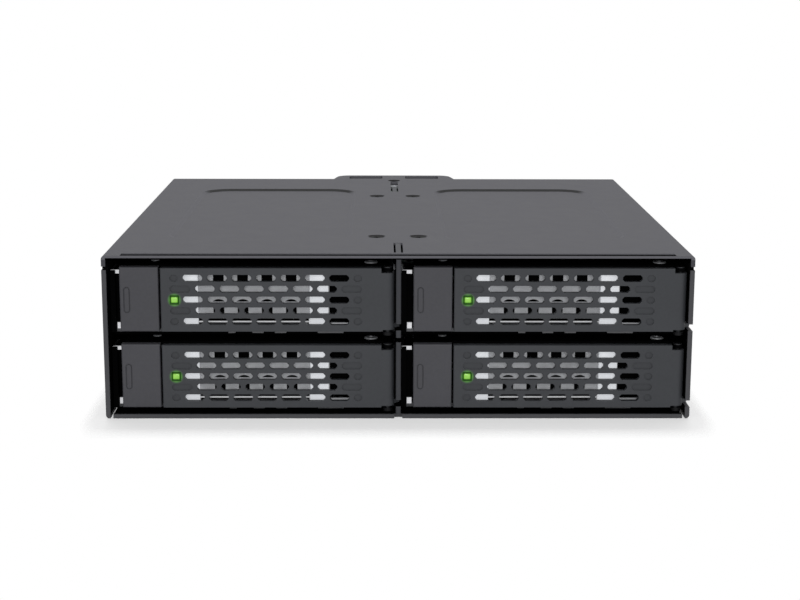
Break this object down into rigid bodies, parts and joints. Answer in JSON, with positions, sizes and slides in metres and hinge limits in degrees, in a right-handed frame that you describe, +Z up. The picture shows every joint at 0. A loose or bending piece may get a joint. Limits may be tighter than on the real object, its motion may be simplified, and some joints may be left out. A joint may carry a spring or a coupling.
{
  "type": "hot swap drive cage",
  "caption": "Sheet steel hot swap drive cage for a half-height bay, with side-by-side drive trays, ventilated swing levers, sprung latches, a backplane and a rear fan.",
  "frame": {"origin": "under the middle of the whole cage, fan included", "axes": "+X to the right across the front, +Y from the front to the fan, +Z up"},
  "size_m": [0.146, 0.152, 0.0413],
  "materials": {
    "cover_paint": "satin dark grey powder coat",
    "cage_paint": "satin black powder coat, lighter on the cut edges",
    "shelf_paint": "matt black coat",
    "divider_paint": "satin black powder coat",
    "black_screw": "black oxide",
    "zinc_screw": "zinc plated",
    "board_mask": "green solder mask",
    "bracket_steel": "satin black powder coat",
    "fan_frame_plastic": "moulded black, fine grain",
    "fan_rotor_plastic": "moulded black",
    "connector_plastic": "moulded black",
    "power_plastic": "moulded black",
    "knob_plastic": "moulded white",
    "pan_steel": "zinc coated, fine spangle",
    "shield_steel": "bright tin plate",
    "frame_plastic": "moulded black",
    "lever_plastic": "fine grained dark grey",
    "latch_plastic": "fine grained dark grey",
    "lens_green": "glowing lime green light",
    "pin_steel": "turned steel",
    "rivet_steel": "bright steel ring"
  },
  "bodies": {
    "cage": {"backplane_board": "board_mask", "board_screws": "zinc_screw", "bracket_screws": "zinc_screw", "chassis": "cage_paint", "cover_screws": "black_screw", "data_port_1": "connector_plastic", "data_port_2": "connector_plastic", "data_port_3": "connector_plastic", "data_port_4": "connector_plastic", "divider": "divider_paint", "drive_socket_1": "connector_plastic", "drive_socket_2": "connector_plastic", "drive_socket_3": "connector_plastic", "drive_socket_4": "connector_plastic", "fan_bracket": "bracket_steel", "fan_frame": "fan_frame_plastic", "fan_screws": "zinc_screw", "power_port_left": "power_plastic", "power_port_right": "power_plastic", "shelf": "shelf_paint", "switch_body": "connector_plastic", "top_cover": "cover_paint"},
    "fan_rotor": {"fan_rotor": "fan_rotor_plastic"},
    "switch_knob": {"switch_knob": "knob_plastic"},
    "tray_1": {"tray_1_pan": "pan_steel", "tray_1_front_frame": "frame_plastic", "tray_1_shield": "shield_steel", "tray_1_hinge_pin": "pin_steel", "tray_1_latch_post": "pin_steel", "tray_1_frame_rivet": "rivet_steel"},
    "lever_1": {"tray_1_lever": "lever_plastic", "tray_1_lens": "lens_green"},
    "latch_1": {"tray_1_latch": "latch_plastic"},
    "tray_2": {"tray_2_pan": "pan_steel", "tray_2_front_frame": "frame_plastic", "tray_2_shield": "shield_steel", "tray_2_hinge_pin": "pin_steel", "tray_2_latch_post": "pin_steel", "tray_2_frame_rivet": "rivet_steel"},
    "lever_2": {"tray_2_lever": "lever_plastic", "tray_2_lens": "lens_green"},
    "latch_2": {"tray_2_latch": "latch_plastic"},
    "tray_3": {"tray_3_pan": "pan_steel", "tray_3_front_frame": "frame_plastic", "tray_3_shield": "shield_steel", "tray_3_hinge_pin": "pin_steel", "tray_3_latch_post": "pin_steel", "tray_3_frame_rivet": "rivet_steel"},
    "lever_3": {"tray_3_lever": "lever_plastic", "tray_3_lens": "lens_green"},
    "latch_3": {"tray_3_latch": "latch_plastic"},
    "tray_4": {"tray_4_pan": "pan_steel", "tray_4_front_frame": "frame_plastic", "tray_4_shield": "shield_steel", "tray_4_hinge_pin": "pin_steel", "tray_4_latch_post": "pin_steel", "tray_4_frame_rivet": "rivet_steel"},
    "lever_4": {"tray_4_lever": "lever_plastic", "tray_4_lens": "lens_green"},
    "latch_4": {"tray_4_latch": "latch_plastic"}
  },
  "joints": [
    {"name": "fan_spin", "type": "hinge", "parent": "cage", "child": "fan_rotor", "pos_m": [0, 0.0705, 0.02015], "axis": [0, 1, 0], "continuous": true},
    {"name": "switch_slide", "type": "slide", "parent": "cage", "child": "switch_knob", "axis": [1, 0, 0], "range_m": [0, 0.002]},
    {"name": "tray_1_slide", "type": "slide", "parent": "cage", "child": "tray_1", "axis": [0, -1, 0], "range_m": [0, 0.11]},
    {"name": "lever_1_swing", "type": "hinge", "parent": "tray_1", "child": "lever_1", "pos_m": [-0.00265, -0.0734, 0.02995], "axis": [0, 0, 1], "range_deg": [0, 75]},
    {"name": "latch_1_press", "type": "hinge", "parent": "tray_1", "child": "latch_1", "pos_m": [-0.06125, -0.064, 0.02995], "axis": [0, 0, -1], "range_deg": [0, 6], "stiffness_Nm_per_rad": 0.1, "springref_deg": -2.86},
    {"name": "tray_2_slide", "type": "slide", "parent": "cage", "child": "tray_2", "axis": [0, -1, 0], "range_m": [0, 0.11]},
    {"name": "lever_2_swing", "type": "hinge", "parent": "tray_2", "child": "lever_2", "pos_m": [0.0699, -0.0734, 0.02995], "axis": [0, 0, 1], "range_deg": [0, 75]},
    {"name": "latch_2_press", "type": "hinge", "parent": "tray_2", "child": "latch_2", "pos_m": [0.0113, -0.064, 0.02995], "axis": [0, 0, -1], "range_deg": [0, 6], "stiffness_Nm_per_rad": 0.1, "springref_deg": -2.86},
    {"name": "tray_3_slide", "type": "slide", "parent": "cage", "child": "tray_3", "axis": [0, -1, 0], "range_m": [0, 0.11]},
    {"name": "lever_3_swing", "type": "hinge", "parent": "tray_3", "child": "lever_3", "pos_m": [-0.00265, -0.0734, 0.01045], "axis": [0, 0, 1], "range_deg": [0, 75]},
    {"name": "latch_3_press", "type": "hinge", "parent": "tray_3", "child": "latch_3", "pos_m": [-0.06125, -0.064, 0.01045], "axis": [0, 0, -1], "range_deg": [0, 6], "stiffness_Nm_per_rad": 0.1, "springref_deg": -2.86},
    {"name": "tray_4_slide", "type": "slide", "parent": "cage", "child": "tray_4", "axis": [0, -1, 0], "range_m": [0, 0.11]},
    {"name": "lever_4_swing", "type": "hinge", "parent": "tray_4", "child": "lever_4", "pos_m": [0.0699, -0.0734, 0.01045], "axis": [0, 0, 1], "range_deg": [0, 75]},
    {"name": "latch_4_press", "type": "hinge", "parent": "tray_4", "child": "latch_4", "pos_m": [0.0113, -0.064, 0.01045], "axis": [0, 0, -1], "range_deg": [0, 6], "stiffness_Nm_per_rad": 0.1, "springref_deg": -2.86}
  ]
}
